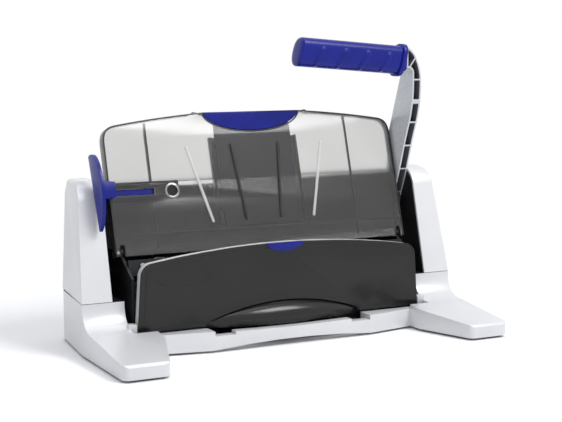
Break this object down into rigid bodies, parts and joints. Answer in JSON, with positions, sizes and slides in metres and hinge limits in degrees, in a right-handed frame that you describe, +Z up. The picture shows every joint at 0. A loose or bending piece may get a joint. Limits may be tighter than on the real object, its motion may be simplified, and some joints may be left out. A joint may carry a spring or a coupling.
{
  "type": "desk punch and comb binding machine",
  "caption": "Hand-lever desk punch and comb binder: two silver towers, smoked folding paper support, sliding edge guide, hinged smoked door and a waste drawer.",
  "frame": {"origin": "on the table plane under the middle rubber pad, in the machine's middle plane, level with the front of the towers' feet", "axes": "+X to the right as the user sees it, +Y to the back, +Z up"},
  "size_m": [0.448, 0.2145, 0.3265],
  "materials": {
    "silver_shell": "silver satin paint on moulded plastic",
    "black_plastic": "black moulded",
    "smoked_plastic": "smoked translucent, polished",
    "dark_strip": "dark grey moulded",
    "blue_plastic": "blue, glossy",
    "sheet_steel": "plain steel",
    "black_steel": "black coated",
    "bright_steel": "ground bright",
    "lever_metal": "die cast, silver paint",
    "chrome": "polished ring",
    "rubber": "black, matt"
  },
  "bodies": {
    "housing": {"base_shell": "silver_shell", "right_foot_plate": "black_plastic", "left_foot_plate": "black_plastic", "bottom_plate": "sheet_steel", "foot_pads": "rubber", "right_tower_cover": "silver_shell", "left_tower_cover": "silver_shell", "right_side_plate": "black_plastic", "left_side_plate": "black_plastic", "right_frame_plate": "black_steel", "left_frame_plate": "black_steel", "shaft_bushes": "black_plastic", "pin_guide": "sheet_steel", "die_plate": "sheet_steel", "paper_stop": "black_plastic", "guide_rods": "bright_steel", "return_springs": "bright_steel", "comb_deck": "black_steel", "comb_rake": "sheet_steel", "chip_chute": "black_plastic", "drawer_runners": "black_plastic", "throat_cover": "black_plastic", "rear_cover": "silver_shell", "base_screws": "bright_steel", "die_screws": "bright_steel", "door_hinge_pins": "bright_steel", "support_hinge_pins": "bright_steel"},
    "lever": {"drive_shaft": "bright_steel", "drive_cams": "bright_steel", "lever_arm": "lever_metal", "lever_grip": "blue_plastic", "lever_screw": "bright_steel", "shaft_spacer": "black_plastic"},
    "punch_head": {"press_bar": "sheet_steel", "punch_pins": "bright_steel"},
    "hook_carriage": {"hook_bar": "sheet_steel", "comb_hooks": "sheet_steel"},
    "waste_drawer": {"drawer_front": "smoked_plastic", "drawer_tray": "black_plastic"},
    "front_door": {"door_window": "smoked_plastic", "door_frame": "silver_shell", "door_tab": "blue_plastic"},
    "paper_support": {"support_panel": "smoked_plastic", "guide_channel": "black_plastic", "sight_ring": "chrome", "sight_lens": "black_plastic"},
    "support_extension": {"extension_strip": "dark_strip", "extension_tab": "blue_plastic"},
    "side_guide": {"edge_guide": "blue_plastic"}
  },
  "joints": [
    {"name": "lever_pull", "type": "hinge", "parent": "housing", "child": "lever", "pos_m": [0, 0.072, 0.076], "axis": [1, 0, 0], "range_deg": [0, 72]},
    {"name": "press_slide", "type": "slide", "parent": "housing", "child": "punch_head", "axis": [0, -0.9578, 0.2874], "range_m": [0, 0.009], "deforming": ["return_springs"]},
    {"name": "hook_slide", "type": "slide", "parent": "housing", "child": "hook_carriage", "axis": [0, -1, 0], "range_m": [0, 0.006]},
    {"name": "drawer_slide", "type": "slide", "parent": "housing", "child": "waste_drawer", "axis": [0, -1, 0], "range_m": [0, 0.07]},
    {"name": "door_hinge", "type": "hinge", "parent": "housing", "child": "front_door", "pos_m": [0, -0.013, 0.027], "axis": [1, 0, 0], "range_deg": [0, 45]},
    {"name": "support_fold", "type": "hinge", "parent": "housing", "child": "paper_support", "pos_m": [0, 0.03145, 0.10067], "axis": [1, 0, 0], "range_deg": [0, 80]},
    {"name": "extension_slide", "type": "slide", "parent": "paper_support", "child": "support_extension", "axis": [0, 0.2874, 0.9578], "range_m": [0, 0.07]},
    {"name": "guide_slide", "type": "slide", "parent": "paper_support", "child": "side_guide", "axis": [-1, 0, 0], "range_m": [0, 0.006]}
  ],
  "couplings": [
    {"joint": "press_slide", "follows": "lever_pull", "m_per_rad": 0.0071619},
    {"joint": "hook_slide", "follows": "lever_pull", "m_per_rad": 0.0047746}
  ]
}
